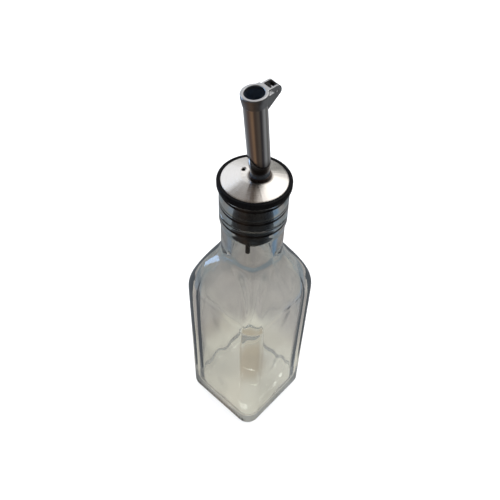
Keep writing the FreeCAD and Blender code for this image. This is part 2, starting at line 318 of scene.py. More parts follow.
def ringAngles(s):
    # more points on the corners than on the flat sides
    arm = s["half"] - s["corner"]
    angles = []
    for side in range(4):
        for i in range(s["sidePoints"]):
            across = arm * (2 * i / s["sidePoints"] - 1)
            angles.append(side * quarterTurn + math.atan2(across, s["half"]))
        for i in range(s["cornerPoints"]):
            turn = quarterTurn * i / s["cornerPoints"]
            x = arm + s["corner"] * math.cos(turn)
            y = arm + s["corner"] * math.sin(turn)
            angles.append(side * quarterTurn + math.atan2(y, x))
    return angles


def waveSum(waves, angle, height):
    total = 0
    for share, turns, pitch, start in waves:
        total += share * math.sin(turns * angle + height / pitch + start)
    return total


def innerRipple(s, angle, height):
    depth = s["ripple"] * (1 + 2 * min(max((height - s["panelTop"]) / s["deepen"], 0), 1))
    onPanels = (1 - fromPanel(angle) ** 2) ** 2
    onCorners = max(math.cos(2 * angle - quarterTurn), 0) ** 4
    walls = depth * onPanels * waveSum(s["wallWaves"], angle, height)
    return walls + s["cornerRipple"] * onCorners * waveSum(s["cornerWaves"], angle, height)


def floorRipple(s, angle, radius):
    x, y = radius * math.cos(angle), radius * math.sin(angle)
    (pitchX, pitchY), sway = s["floorPitch"], s["floorSway"]
    waves = math.sin(x / pitchX + sway * math.sin(y / sway)) + math.sin(y / pitchY - x / sway)
    return s["floorRipple"] * waves


def bottleRings(s):
    rings = []

    def level(height, radius):
        rings.append(lambda angle: (radius(angle, height), height))

    def roundedSquare(half, corner, inset, height):
        rings.append(lambda angle: (squareRadius(angle, half - inset, corner(s, angle) - inset), height))

    def circle(radius, height):
        rings.append(lambda angle: (radius, height))

    def unevenCircle(radius, height):
        rings.append(lambda angle: (radius, height + floorRipple(s, angle, radius)))

    def outerWall(angle, height):
        half, corner, neck = s["half"], s["corner"], s["neckRadius"]
        return shoulderRadius(s, angle, height, half, corner, neck, s["junction"])

    def innerWall(angle, height):
        half, corner, bore = s["innerHalf"], innerCorner(s, angle), s["mouthRadius"]
        junction = s["innerJunction"] * (1 + s["junctionSwing"] * (1 - 2 * fromPanel(angle)))
        radius = shoulderRadius(s, angle, height, half, corner, bore, junction)
        return radius + innerRipple(s, angle, height) * min((radius - bore) / s["rippleFade"], 1)

    # hollow under the base, from its middle outwards
    puntSteps = 12
    for i in range(1, puntSteps + 1):
        way = i / puntSteps
        circle(s["puntRadius"] * way, s["puntRise"] * (1 - way ** 2))
    # heel
    heelSteps = 10
    for i in range(heelSteps + 1):
        turn = quarterTurn * i / heelSteps
        inset = s["heel"] * (1 - math.sin(turn))
        height = s["heel"] * (1 - math.cos(turn))
        roundedSquare(s["half"], outerCorner, inset, height)
    # panels and shoulder
    panelSteps = 16
    for i in range(1, panelSteps + 1):
        level(s["heel"] + (s["panelTop"] - s["heel"]) * i / panelSteps, outerWall)
    shoulderSteps = 48
    neckSteps = 10
    shoulderTop = s["panelTop"] + s["shoulderRise"]
    for i in range(1, shoulderSteps + neckSteps):
        level(s["panelTop"] + s["shoulderRise"] * i / shoulderSteps, outerWall)
    # neck, finish and its line
    circle(s["neckRadius"], shoulderTop + s["neckFoot"])
    circle(s["neckRadius"], s["neckTop"] - s["flareLead"])
    flareSteps = 12
    flare = s["finishFoot"] - s["neckTop"]
    for i in range(flareSteps + 1):
        way = i / flareSteps
        radius = s["neckRadius"] + (s["finishRadius"] - s["neckRadius"]) * easeIn(way)
        circle(radius, s["neckTop"] + flare * way)
    circle(s["finishRadius"], s["groove"] - 2 * s["grooveHalf"])
    grooveSteps = 8
    for i in range(grooveSteps + 1):
        way = 2 * i / grooveSteps - 1
        depth = s["grooveDepth"] * (1 + math.cos(math.pi * way)) / 2
        circle(s["finishRadius"] - depth, s["groove"] + s["grooveHalf"] * way)
    circle(s["finishRadius"], s["groove"] + 2 * s["grooveHalf"])
    # lip
    middle = (s["finishRadius"] - s["lipRound"], s["lip"] - s["lipRound"])
    for radius, height in arcPoints(middle, s["lipRound"], 0, 90, 8):
        circle(radius, height)
    middle = (s["mouthRadius"] + s["mouthRound"], s["lip"] - s["mouthRound"])
    for radius, height in arcPoints(middle, s["mouthRound"], 90, 180, 6):
        circle(radius, height)
    # inside, from the bore down to the floor
    circle(s["mouthRadius"], s["boreTop"])
    circle(s["mouthRadius"], shoulderTop + s["neckFoot"])
    for i in reversed(range(-1, shoulderSteps + neckSteps)):
        level(s["panelTop"] + s["shoulderRise"] * i / shoulderSteps, innerWall)
    wallTop = s["panelTop"] - 1      # just under the shoulder's last ring
    floorTop = s["base"] + s["floorRound"]
    wallSteps = 30
    for i in range(1, wallSteps + 1):
        level(wallTop + (floorTop - wallTop) * i / wallSteps, innerWall)
    floorSteps = 10
    for i in range(1, floorSteps + 1):
        turn = quarterTurn * i / floorSteps
        inset = s["floorRound"] * (1 - math.cos(turn))
        height = floorTop - s["floorRound"] * math.sin(turn)
        roundedSquare(s["innerHalf"], innerCorner, inset, height)
    floorReach = s["innerHalf"] - s["floorRound"]
    reachSteps = 24
    for i in range(1, reachSteps):
        radius = floorReach * (1 - i / reachSteps)
        height = s["base"] + s["floorRise"] * (1 - (radius / floorReach) ** 2)
        unevenCircle(radius, height)
    return rings


def spreadAngles(piece, angles):
    # moves the first ring's points from even spacing to the given angles
    mesh = bmesh.from_edit_mesh(piece.data)
    rim = [point for point in mesh.verts if point.select]
    rim.sort(key=lambda point: math.atan2(point.co.y, point.co.x) % fullTurn)
    height = rim[0].co.z
    radius = rim[0].co.xy.length
    for point, angle in zip(rim, sorted(angle % fullTurn for angle in angles)):
        point.co = (radius * math.cos(angle), radius * math.sin(angle), height)
    bmesh.update_edit_mesh(piece.data)


def blowBottle(s):
    angles = ringAngles(s)
    rings = bottleRings(s)
    firstRadius, firstHeight = rings[0](0)
    piece = startRings("glassBottle", len(angles), firstRadius, firstHeight)
    spreadAngles(piece, angles)
    for shape in rings[1:]:
        addRing(piece, shape)
    bpy.ops.mesh.extrude_region_move(TRANSFORM_OT_translate={"value": (0, 0, 0)})
    bpy.ops.mesh.merge(type="CENTER")
    endMesh(piece)
    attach(piece, "bottle")
    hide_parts("glass_bottle")
    return piece


glassBottle = blowBottle(bottleSizes)
print("glass bottle:", len(glassBottle.data.polygons), "faces")


# Black stopper: plug with fins, rounded nose and flange

stopperSizes = {
    "noseFoot": 140.0,
    "noseRadius": 4.6,
    "noseSwell": 1.4,
    "noseFlat": 3.76,                 # radius of the flat end
    "nosePower": 1.15,
    "plugFoot": 152.0,
    "coreRadius": 8.6,
    "finRadius": 10.53,               # pressed against the bore
    "finTops": (154.0, 162.0, 170.0),
    "finHeight": 2.6,
    "finEdge": 1.5,
    "soft": 0.1,                      # broken edges of the fins
    "rootRound": 0.3,
    "flangeRadius": 17.4,
    "flangeTop": 178.0,
    "flangeRound": 0.7,
    "underRound": 0.3,
    "recessRound": 0.2,
    "recessRadius": 15.65,
    "seat": 177.0,
    "oilChannel": (0.95, 1.5, 2.6),   # x, y, radius
    "ventChannel": (3.4, -5.2, 1.15),
    "sharpEdge": 32,
}


def mouldStopper(s):
    lip = pourerSizes["lip"]
    outline = [(0, s["noseFoot"]), (s["noseFlat"], s["noseFoot"])]
    noseSteps = 14
    rise = s["plugFoot"] - s["noseFoot"]
    for i in range(1, noseSteps + 1):
        way = i / noseSteps
        straight = s["noseRadius"] + (s["coreRadius"] - s["noseRadius"]) * way
        swell = 4 * s["noseSwell"] * way * (1 - way)
        outline.append((straight + swell, s["noseFoot"] + rise * way ** s["nosePower"]))
    core, fin, soft = s["coreRadius"], s["finRadius"], s["soft"]
    for top in s["finTops"]:
        outline += [
            (core, top - s["finHeight"]),
            (fin - soft, top - s["finEdge"] - soft),
            (fin, top - s["finEdge"] + soft),
            (fin, top - 1.5 * soft),
            (fin - 1.5 * soft, top),
            (core + 2 * soft, top),
            (core, top + 2 * soft),
        ]
    outline += [(core, lip - s["rootRound"]), (core + s["rootRound"], lip)]
    under, over, inner = s["underRound"], s["flangeRound"], s["recessRound"]
    outline += arcPoints((s["flangeRadius"] - under, lip + under), under, -90, 0, 4)
    outline += arcPoints((s["flangeRadius"] - over, s["flangeTop"] - over), over, 0, 90, 8)
    outline += arcPoints((s["recessRadius"] + inner, s["flangeTop"] - inner), inner, 90, 180, 4)
    outline += [(s["recessRadius"], s["seat"]), (0, s["seat"])]
    piece = spinOutline("blackStopper", outline, 128)
    movePiece(piece, pourerFrame)
    length = s["seat"] - s["noseFoot"] + 2 * spare
    for x, y, radius in (s["oilChannel"], s["ventChannel"]):
        channel = addCylinder(radius, (x, y, s["noseFoot"] - spare), length, pourerFrame)
        combine(piece, channel, "DIFFERENCE")
    bpy.ops.object.shade_smooth_by_angle(angle=math.radians(s["sharpEdge"]))
    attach(piece, "pourer")
    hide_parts("stopper")
    return piece


blackStopper = mouldStopper(stopperSizes)
print("stopper:", len(blackStopper.data.polygons), "faces")


# Vent tube through the stopper

ventSizes = {
    "place": stopperSizes["ventChannel"][:2],
    "foot": 137.0,
    "top": stopperSizes["seat"],
    "radius": 1.1,
    "bore": 0.6,
    "round": 0.2,
}


def drawVent(s):
    outline = [(s["bore"], s["foot"])]
    outline += arcPoints((s["radius"] - s["round"], s["foot"] + s["round"]), s["round"], -90, 0, 4)
    outline += [(s["radius"], s["top"]), (s["bore"], s["top"])]
    piece = spinOutline("ventTube", closed(outline), 40)
    movePiece(piece, pourerFrame @ Matrix.Translation(Vector((*s["place"], 0)) * mm))
    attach(piece, "pourer")
    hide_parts("vent_tube")
    return piece


ventTube = drawVent(ventSizes)
print("vent tube done")


# Steel cap: turned dome with a rolled edge, a collar for the tube and an air hole

capSizes = {
    "radius": 15.55,
    "seat": stopperSizes["seat"],
    "edge": 0.9,
    "edgeRound": 0.45,
    "edgeDrop": 0.36,               # of the rolled edge's middle, below the dome
    "edgeTurn": 66,                 # degrees that it is rolled through
    "edgeReach": 0.54,              # from the rim inwards, where the dome starts
    "crownEdge": 0.4,
    "crownRadius": 6.5,
    "rise": 2.6,
    "swell": 0.4,
    "sheet": 0.6,
    "collarBore": 4.4,
    "collarRadius": 4.95,
    "collarRise": 1.6,
    "collarFoot": 5.25,
    "collarSink": 0.5,
    "collarLip": 0.05,
    "airHole": (-6.0, -1.8, 0.9),   # x, y, radius
    "airDimple": 1.75,
    "dimpleFoot": 0.81,
    "dimpleDepth": 0.5,
    "dimpleOver": 0.2,
    "sharpEdge": 35,
}


def capHeight(s, radius):
    way = max((radius - s["crownRadius"]) / (s["radius"] - s["crownRadius"]), 0)
    return s["seat"] + s["edge"] + s["rise"] * (1 - way) + s["swell"] * way * (1 - way)


def pressCap(s):
    outline = [(s["radius"] - s["sheet"], s["seat"]), (s["radius"], s["seat"])]
    middle = (s["radius"] - s["edgeRound"], capHeight(s, s["radius"]) - s["edgeDrop"])
    outline += arcPoints(middle, s["edgeRound"], 0, s["edgeTurn"], 6)
    domeSteps = 20
    start, end = s["radius"] - s["edgeReach"], s["crownRadius"] - s["crownEdge"]
    tops = []
    for i in range(domeSteps + 1):
        radius = start + (end - start) * i / domeSteps
        tops.append((radius, capHeight(s, radius)))
    tops.append((0, capHeight(s, 0)))
    outline += tops
    outline += [(radius, height - s["sheet"]) for radius, height in reversed(tops)]
    piece = spinOutline("steelCap", closed(outline), 160)
    movePiece(piece, pourerFrame)
    x, y, radius = s["airHole"]
    top = capHeight(s, math.hypot(x, y))
    hole = addCylinder(radius, (x, y, top - spare), 2 * spare, pourerFrame, sides=40)
    combine(piece, hole, "DIFFERENCE")
    place, depth = (x, y, top - s["dimpleDepth"]), s["dimpleDepth"] + s["dimpleOver"]
    dimple = addCylinder(s["dimpleFoot"], place, depth, pourerFrame, s["airDimple"], 40)
    combine(piece, dimple, "DIFFERENCE")
    tubeHole = addCylinder(s["collarBore"], (0, 0, -2 * spare), 4 * spare, spoutFrame)
    combine(piece, tubeHole, "DIFFERENCE")
    pick(piece, rollCollar(s))
    bpy.ops.object.join()
    bpy.ops.object.shade_smooth_by_angle(angle=math.radians(s["sharpEdge"]))
    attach(piece, "pourer")
    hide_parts("steel_cap")
    return piece


def rollCollar(s):
    # foot spread on the crown, a hollow curve, a straight wall and a rounded top edge
    wall = s["collarRadius"] - s["collarBore"]
    curve = s["collarFoot"] - s["collarRadius"]
    outline = [(s["collarBore"], -s["collarSink"]), (s["collarFoot"], -s["collarSink"])]
    outline += [(s["collarFoot"], s["collarLip"])]
    outline += arcPoints((s["collarFoot"], curve), curve, 270, 180, 8)[1:]
    middle = (s["collarRadius"] - wall / 2, s["collarRise"] - wall / 2)
    outline += arcPoints(middle, wall / 2, 0, 180, 10)
    return movePiece(spinOutline("capCollar", closed(outline), 96), spoutFrame)


steelCap = pressCap(capSizes)
print("cap:", len(steelCap.data.polygons), "faces")


# Spout tube

tubeSizes = {
    "radius": 5.05,
    "bore": 4.2,
    "footRadius": 4.35,
    "swage": (2.0, 10.0),     # where the foot widens to the tube
    "round": 0.15,
}


def drawTube(s):
    foot, top = -pourerSizes["tubeDepth"], pourerSizes["tubeRise"]
    low, high = s["swage"]
    wall = s["radius"] - s["bore"]
    outer = [(s["footRadius"], foot)]
    swageSteps = 16
    for i in range(swageSteps + 1):
        way = i / swageSteps
        radius = s["footRadius"] + (s["radius"] - s["footRadius"]) * easeIn(way)
        outer.append((radius, low + (high - low) * way))
    inner = [(radius - wall, height) for radius, height in reversed(outer)]
    outer += arcPoints((s["radius"] - s["round"], top - s["round"]), s["round"], 0, 90, 3)
    outline = outer + [(s["bore"], top)] + inner
    piece = movePiece(spinOutline("spoutTube", closed(outline), 128), spoutFrame)
    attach(piece, "pourer")
    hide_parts("spout_tube")
    return piece


spoutTube = drawTube(tubeSizes)
print("spout tube done")


# Cast spout tip with its hinge ears

tipSizes = {
    "socket": 5.1,
    "footWall": 0.3,
    "radius": 5.8,
    "bore": tubeSizes["bore"],
    "boreSpare": 0.4,    # metal left inside for the bore's cut
    "round": 0.5,
    "mouthRound": 0.25,
    "pinReach": 8.9,
    "pinDrop": 2.5,
    "pinRadius": 0.75,
    "pinClearance": 0.05,
    "earRound": 2.5,
    "earGap": 4.0,
    "earThickness": 0.9,
    "earRoot": 9.0,
    "web": 0.4,
    "slotEnd": 1.3,
    "gussetHalf": 4.6,
    "gussetDrop": 0.8,
    "grain": 0.12,       # size of the cells that melt the pieces of the casting together
    "melt": 5,           # rounds of smoothing after that
}


def castTip(s):
    height, lip = pourerSizes["tipHeight"], pourerSizes["tipLip"]
    foot, inner = s["socket"] + s["footWall"], s["bore"] - s["boreSpare"]
    outline = [(inner, 0), (foot, 0)]
    flareSteps = 8
    for i in range(1, flareSteps + 1):
        way = i / flareSteps
        outline.append((foot + (s["radius"] - foot) * easeIn(way), (height - lip) * way))
    outline += arcPoints((s["radius"] - s["round"], height - s["round"]), s["round"], 0, 90, 5)
    outline += [(inner, height)]
    piece = spinOutline("spoutTip", closed(outline), 96)
    combine(piece, earBlock(s), "UNION")
    combine(piece, gussetBlock(s), "UNION")
    pinHeight = height - s["pinDrop"]
    slotLow = (-s["earGap"] / 2, s["radius"] + s["web"], pinHeight - s["earRound"] + s["slotEnd"])
    slotHigh = (s["earGap"] / 2, s["pinReach"] + s["earRound"] - s["slotEnd"], height + spare)
    combine(piece, addBlock(slotLow, slotHigh), "DIFFERENCE")
    reach = lugHalf(s) + spare
    across = Matrix.Translation(Vector((-reach, s["pinReach"], pinHeight)) * mm)
    across = across @ Matrix.Rotation(quarterTurn, 4, "Y")
    hole = addCylinder(s["pinRadius"] + s["pinClearance"], (0, 0, 0), 2 * reach, across)
    combine(piece, hole, "DIFFERENCE")
    low = height - s["earRoot"] - spare
    bore = addCylinder(s["bore"], (0, 0, low), height + spare - low)
    combine(piece, bore, "DIFFERENCE")
    rim = s["mouthRound"]
    mouth = addCylinder(s["bore"], (0, 0, height - rim), 2 * rim, top=s["bore"] + 2 * rim)
    combine(piece, mouth, "DIFFERENCE")
    socket = addCylinder(s["socket"], (0, 0, low), height - lip - low)
    combine(piece, socket, "DIFFERENCE")
    applyModifier(piece, "REMESH", mode="VOXEL", voxel_size=s["grain"] * mm, use_smooth_shade=True)
    applyModifier(piece, "SMOOTH", factor=0.5, iterations=s["melt"])
    bpy.ops.object.shade_smooth()
    movePiece(piece, tipFrame)
    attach(piece, "pourer")
    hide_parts("spout_tip")
    return piece


def lugHalf(s):
    # from the middle of the slot to the outside of an ear
    return s["earGap"] / 2 + s["earThickness"]


def gussetBlock(s):
    # the lug's wide root, just under the rim
    height = pourerSizes["tipHeight"] - s["gussetDrop"]
    block = addBlock((-s["gussetHalf"], 0, 0), (s["gussetHalf"], s["radius"] + s["web"], height))
    bpy.ops.object.mode_set(mode="EDIT")
    mesh = bmesh.from_edit_mesh(block.data)
    widen = (s["radius"] - s["round"]) / s["gussetHalf"]
    for point in mesh.verts:
        if point.co.y < 1e-6:
            point.co.x *= widen
    bmesh.update_edit_mesh(block.data)
    bpy.ops.object.mode_set(mode="OBJECT")
    return block


def addBlock(low, high):
    bpy.ops.object.select_all(action="DESELECT")
    middle = (Vector(low) + Vector(high)) / 2 * mm
    bpy.ops.mesh.primitive_cube_add(size=1, location=middle)
    block = bpy.context.object
    block.scale = (Vector(high) - Vector(low)) * mm
    bpy.ops.object.transform_apply(location=True, rotation=True, scale=True)
    return block


def earBlock(s):
    # both ears and the web between them, before the slot is cut: a side outline, extruded across
    height = pourerSizes["tipHeight"]
    pinHeight = height - s["pinDrop"]
    half = lugHalf(s)
    outline = [(s["bore"], height - s["earRoot"])]
    outline += arcPoints((s["pinReach"], pinHeight), s["earRound"], -45, 90, 16)
    outline += [(s["bore"], height)]
    bpy.ops.object.select_all(action="DESELECT")
    bpy.ops.mesh.primitive_circle_add(vertices=len(outline), radius=mm, fill_type="NGON")
    block = bpy.context.object
    bpy.ops.object.mode_set(mode="EDIT")
    mesh = bmesh.from_edit_mesh(block.data)
    mesh.verts.ensure_lookup_table()
    for point, (along, up) in zip(mesh.verts, outline):
        point.co = Vector((-half, along, up)) * mm
    bmesh.update_edit_mesh(block.data)
    bpy.ops.mesh.select_all(action="SELECT")
    bpy.ops.mesh.extrude_region_move(TRANSFORM_OT_translate={"value": (2 * half * mm, 0, 0)})
    return endMesh(block, sharpEdge)


spoutTip = castTip(tipSizes)
print("spout tip:", len(spoutTip.data.polygons), "faces")


# Hinge pin across the ears

pinSizes = {
    "radius": tipSizes["pinRadius"],
    "round": 0.15,
}


def turnPin(s):
    half = lugHalf(tipSizes)
    outline = [(0, -half)]
    outline += arcPoints((s["radius"] - s["round"], -half + s["round"]), s["round"], -90, 0, 4)
    outline += arcPoints((s["radius"] - s["round"], half - s["round"]), s["round"], 0, 90, 4)
    outline += [(0, half)]
    piece = spinOutline("hingePin", outline, 40)
    height = pourerSizes["tipHeight"] - tipSizes["pinDrop"]
    place = Matrix.Translation(Vector((0, tipSizes["pinReach"], height)) * mm)
    movePiece(piece, tipFrame @ place @ Matrix.Rotation(quarterTurn, 4, "Y"))
    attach(piece, "pourer")
    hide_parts("hinge_pin")
    return piece


hingePin = turnPin(pinSizes)
print("hinge pin done")


# Nodes for the materials

def newMaterial(name):
    material = bpy.data.materials.new(name)
    material.use_nodes = True
    return material, material.node_tree, material.node_tree.nodes["Principled BSDF"]


def feed(tree, source, socket):
    # source is a plain value, or another node's output
    if isinstance(source, bpy.types.NodeSocket):
        tree.links.new(source, socket)
    else:
        socket.default_value = source


def addNode(tree, kind, **settings):
    node = tree.nodes.new(kind)
    for key, setting in settings.items():
        if hasattr(node, key):
            setattr(node, key, setting)
        else:
            feed(tree, setting, node.inputs[key])
    return node


def setShader(tree, shader, settings):
    for name, source in settings.items():
        feed(tree, source, shader.inputs[name])


def mathOf(tree, operation, *sources):
    node = addNode(tree, "ShaderNodeMath", operation=operation)
    for source, socket in zip(sources, node.inputs):
        feed(tree, source, socket)
    return node.outputs["Value"]


def vectorOf(tree, operation, *sources):
    node = addNode(tree, "ShaderNodeVectorMath", operation=operation)
    for source, socket in zip(sources, node.inputs):
        feed(tree, source, socket)
    return node.outputs["Value" if operation in ("DOT_PRODUCT", "LENGTH") else "Vector"]


def placeOf(tree):
    return addNode(tree, "ShaderNodeTexCoord").outputs["Object"]


def noiseOf(tree, scale, detail, stretch=(1, 1, 1), turn=(0, 0, 0)):
    mapping = addNode(tree, "ShaderNodeMapping", Vector=placeOf(tree), Rotation=turn, Scale=stretch)
    place = mapping.outputs["Vector"]
    noise = addNode(tree, "ShaderNodeTexNoise", Vector=place, Scale=scale, Detail=detail)
    return noise.outputs["Fac"]


def lineNoise(tree, source, scale, detail):
    # noise along one measure, such as the distance from the axis
    noise = addNode(tree, "ShaderNodeTexNoise", noise_dimensions="1D", W=source, Scale=scale, Detail=detail)
    return noise.outputs["Fac"]


def spreadTo(tree, source, low, high, lowFrom=0.3, highFrom=0.7, curve="LINEAR"):
    ends = {"From Min": lowFrom, "From Max": highFrom, "To Min": low, "To Max": high}
    node = addNode(tree, "ShaderNodeMapRange", interpolation_type=curve, Value=source, **ends)
    return node.outputs["Result"]


def smoothStep(tree, source, start, full):
    return spreadTo(tree, source, 0, 1, start, full, "SMOOTHSTEP")


def inMetres(lengths):
    return [length * mm for length in lengths]


def blendOver(tree, base, colour, share):
    # base where the share is 0, colour where it is 1
    node = addNode(tree, "ShaderNodeMix", data_type="RGBA")
    feed(tree, share, node.inputs[0])
    for source, socket in ((base, node.inputs[6]), (colour, node.inputs[7])):
        feed(tree, (*source, 1) if isinstance(source, tuple) else source, socket)
    return node.outputs[2]


def addBump(tree, shader, source, depth, strength):
    bump = addNode(tree, "ShaderNodeBump", Strength=strength, Distance=depth * mm, Height=source)
    feed(tree, bump.outputs["Normal"], shader.inputs["Normal"])


def spoutPlace(tree):
    # height along the spout from the cap's crown, and distance from the spout's axis
    axis = spoutFrame.to_3x3() @ Vector((0, 0, 1))
    fromFoot = vectorOf(tree, "SUBTRACT", placeOf(tree), spoutFrame.to_translation())
    along = vectorOf(tree, "DOT_PRODUCT", fromFoot, axis)
    away = vectorOf(tree, "LENGTH", vectorOf(tree, "CROSS_PRODUCT", fromFoot, axis))
    return along, away


def paint(piece, material):
    piece.data.materials.clear()
    piece.data.materials.append(material)


# Clear glass. Here and below, a pair of places is where a zone starts and where it is full

glassFinish = {
    "colour": (0.95, 0.97, 0.95),
    "index": 1.5,
    "stipple": 0.45,                       # roughness of the underside
    "stippleLevel": (0.8, 0.95),           # upright part of the normal
    "stippleTop": (2.0, 3.0),              # mm up, where the stipple starts to fade and is gone
    # painted shade along one side of the heel, deepest in each groove
    "grooveShadeColour": (0.04, 0.045, 0.04),
    "groovePitch": 2.2,                    # mm, along one side of the heel
    "grooveShare": (0.15, 1.0),            # how much painted shade lies between them and in each groove
    "grooveWave": (-0.3, 0.7),             # heights of the sine wave that draws them
    "grooveTop": (7.5, 2.5),               # mm up
    "grooveSide": (-24.6, -25.4),          # mm from the axis
    "glowColour": (0.76, 0.88, 1.0),
    "glow": 0.013,
    "glowTop": (118.0, 134.0),             # mm up, where the glow starts to fade and is gone
    "skinScale": 60,
    "skinDepth": 0.02,
    "skinStrength": 0.1,
}


def makeGlass(s):
    material, tree, shader = newMaterial("clearGlass")
    place = addNode(tree, "ShaderNodeTexCoord")
    x, y, z = addNode(tree, "ShaderNodeSeparateXYZ", Vector=place.outputs["Object"]).outputs
    facing = addNode(tree, "ShaderNodeSeparateXYZ", Vector=place.outputs["Normal"])
    # the level part of the underside is stippled, so it scatters the light that would run along the base
    under = smoothStep(tree, mathOf(tree, "ABSOLUTE", facing.outputs["Z"]), *s["stippleLevel"])
    stipple = spreadTo(tree, z, s["stipple"], 0, *inMetres(s["stippleTop"]))
    # painted shade: the heel is ribbed along one side, and that band is darkened and made dull, fully in
    # each groove and faintly between
    wave = mathOf(tree, "SINE", mathOf(tree, "MULTIPLY", x, fullTurn / (s["groovePitch"] * mm)))
    low = smoothStep(tree, z, *inMetres(s["grooveTop"]))
    aside = smoothStep(tree, y, *inMetres(s["grooveSide"]))
    heel = mathOf(tree, "MULTIPLY", low, aside)
    grooveShade = mathOf(tree, "MULTIPLY", heel, spreadTo(tree, wave, *s["grooveShare"], *s["grooveWave"]))
    # a trace of glow in the body, for the light that runs along inside its walls
    glow = spreadTo(tree, z, s["glow"], 0, *inMetres(s["glowTop"]))
    setShader(tree, shader, {
        "Base Color": blendOver(tree, s["colour"], s["grooveShadeColour"], grooveShade),
        "Metallic": grooveShade,
        "Roughness": mathOf(tree, "MULTIPLY", under, stipple),
        "IOR": s["index"],
        "Transmission Weight": 1,
        "Emission Color": (*s["glowColour"], 1),
        "Emission Strength": glow,
    })
    addBump(tree, shader, noiseOf(tree, s["skinScale"], 1), s["skinDepth"], s["skinStrength"])
    return material


paint(glassBottle, makeGlass(glassFinish))


# Black plastic of the stopper and the vent

blackFinish = {
    "dark": (0.002, 0.002, 0.0025),
    "light": (0.005, 0.005, 0.006),
    "cloudScale": 900,
    "specular": 0.06,
    "stopperRoughness": (0.225, 0.405),
    "ventRoughness": (0.15, 0.27),
    "grainScale": 3000,
    "grainDepth": 0.02,
    "grainStrength": 0.3,
}


def makeBlack(s, name, roughness):
    material, tree, shader = newMaterial(name)
    clouds = noiseOf(tree, s["cloudScale"], 4)
    setShader(tree, shader, {
        "Base Color": blendOver(tree, s["dark"], s["light"], clouds),
        "Specular IOR Level": s["specular"],
        "Roughness": spreadTo(tree, clouds, *roughness),
    })
    addBump(tree, shader, noiseOf(tree, s["grainScale"], 2), s["grainDepth"], s["grainStrength"])
    return material


paint(blackStopper, makeBlack(blackFinish, "mouldedBlack", blackFinish["stopperRoughness"]))
paint(ventTube, makeBlack(blackFinish, "ventBlack", blackFinish["ventRoughness"]))


# Turned steel of the cap: fine rings about the axis, and a highlight drawn out across them

capFinish = {
    "dark": (0.70, 0.68, 0.65),
    "light": (0.90, 0.88, 0.85),
    "ringScale": 6000,
    "roughness": (0.24, 0.32),
    "drawnOut": 0.85,
    "drawnTurn": 0.25,                     # of a full turn, from along the rings to across them
    "capFootShade": (0.13, 0.11, 0.10),      # painted shade round the spout's foot
    "capFootShadeReach": (4.9, 6.4),               # mm from the spout's axis
    "streakScale": 4,
    "streakDepth": 0.25,
    "streakStrength": 0.5,
}


def makeBrushed(s):
    material, tree, shader = newMaterial("ringBrushedSteel")
    place = placeOf(tree)
    reach = vectorOf(tree, "LENGTH", vectorOf(tree, "MULTIPLY", place, (1, 1, 0)))
    rings = lineNoise(tree, reach, s["ringScale"], 3)
    steel = blendOver(tree, s["dark"], s["light"], rings)
    # painted shade darkens the cap round the spout's foot
    unshaded = smoothStep(tree, spoutPlace(tree)[1], *inMetres(s["capFootShadeReach"]))
    tangent = addNode(tree, "ShaderNodeTangent", direction_type="RADIAL", axis="Z")
    setShader(tree, shader, {
        "Base Color": blendOver(tree, s["capFootShade"], steel, unshaded),
        "Roughness": spreadTo(tree, rings, *s["roughness"]),
        "Metallic": 1,
        "Anisotropic": s["drawnOut"],
        "Anisotropic Rotation": s["drawnTurn"],
        "Tangent": tangent.outputs["Tangent"],
    })
    split = addNode(tree, "ShaderNodeSeparateXYZ", Vector=place)
    turn = mathOf(tree, "ARCTAN2", split.outputs["Y"], split.outputs["X"])
    streaks = lineNoise(tree, turn, s["streakScale"], 4)
    addBump(tree, shader, streaks, s["streakDepth"], s["streakStrength"])
    return material


paint(steelCap, makeBrushed(capFinish))


# Polished tube, with faint lines along it

tubeFinish = {
    "dark": (0.74, 0.73, 0.715),
    "light": (0.86, 0.85, 0.835),
    "cloudScale": 120,
    "lineScale": 2500,
    "lineStretch": (1, 1, 0.02),
    "lineDepth": 0.006,
    "lineStrength": 0.2,
    "roughness": (0.05, 0.14),
    # painted shade at the tube's foot, which keeps the cap's mirrored brightness off it
    "tubeFootShade": (0.06, 0.05, 0.045),
    "tubeFootShadeTop": (6.5, 14.0),                # mm along the spout, where the painted shade at its foot starts to fade and is gone
    # painted reflection: a blue tint inside the tube, for what its bore mirrors
    "insideReflectionTint": (0.38, 0.45, 0.54),
    "insideReach": (4.6, 4.3),             # mm from its axis
    "insideRoughness": 0.55,
}


def makeDrawn(s):
    material, tree, shader = newMaterial("drawnSteel")
    lean = (math.radians(-pourerSizes["lean"]), 0, 0)
    lines = noiseOf(tree, s["lineScale"], 3, s["lineStretch"], lean)
    steel = blendOver(tree, s["dark"], s["light"], noiseOf(tree, s["cloudScale"], 3))
    along, away = spoutPlace(tree)
    # painted shade darkens the tube towards its foot
    unshaded = smoothStep(tree, along, *inMetres(s["tubeFootShadeTop"]))
    outside = blendOver(tree, s["tubeFootShade"], steel, unshaded)
    inside = smoothStep(tree, away, *inMetres(s["insideReach"]))
    polish = spreadTo(tree, lines, *s["roughness"])
    roughness = addNode(tree, "ShaderNodeMix", Factor=inside, A=polish, B=s["insideRoughness"])
    setShader(tree, shader, {
        # the inside carries the painted blue reflection
        "Base Color": blendOver(tree, outside, s["insideReflectionTint"], inside),
        "Roughness": roughness.outputs["Result"],
        "Metallic": 1,
    })
    addBump(tree, shader, lines, s["lineDepth"], s["lineStrength"])
    return material


paint(spoutTube, makeDrawn(tubeFinish))


# Satin plated casting, with a slight skin

tipFinish = {
    "dark": (0.42, 0.43, 0.44),
    "light": (0.56, 0.57, 0.58),
    "cloudScale": 260,
    "roughness": (0.34, 0.44),
    "skinScale": 1400,
    "skinDepth": 0.02,
    "skinStrength": 0.2,
}


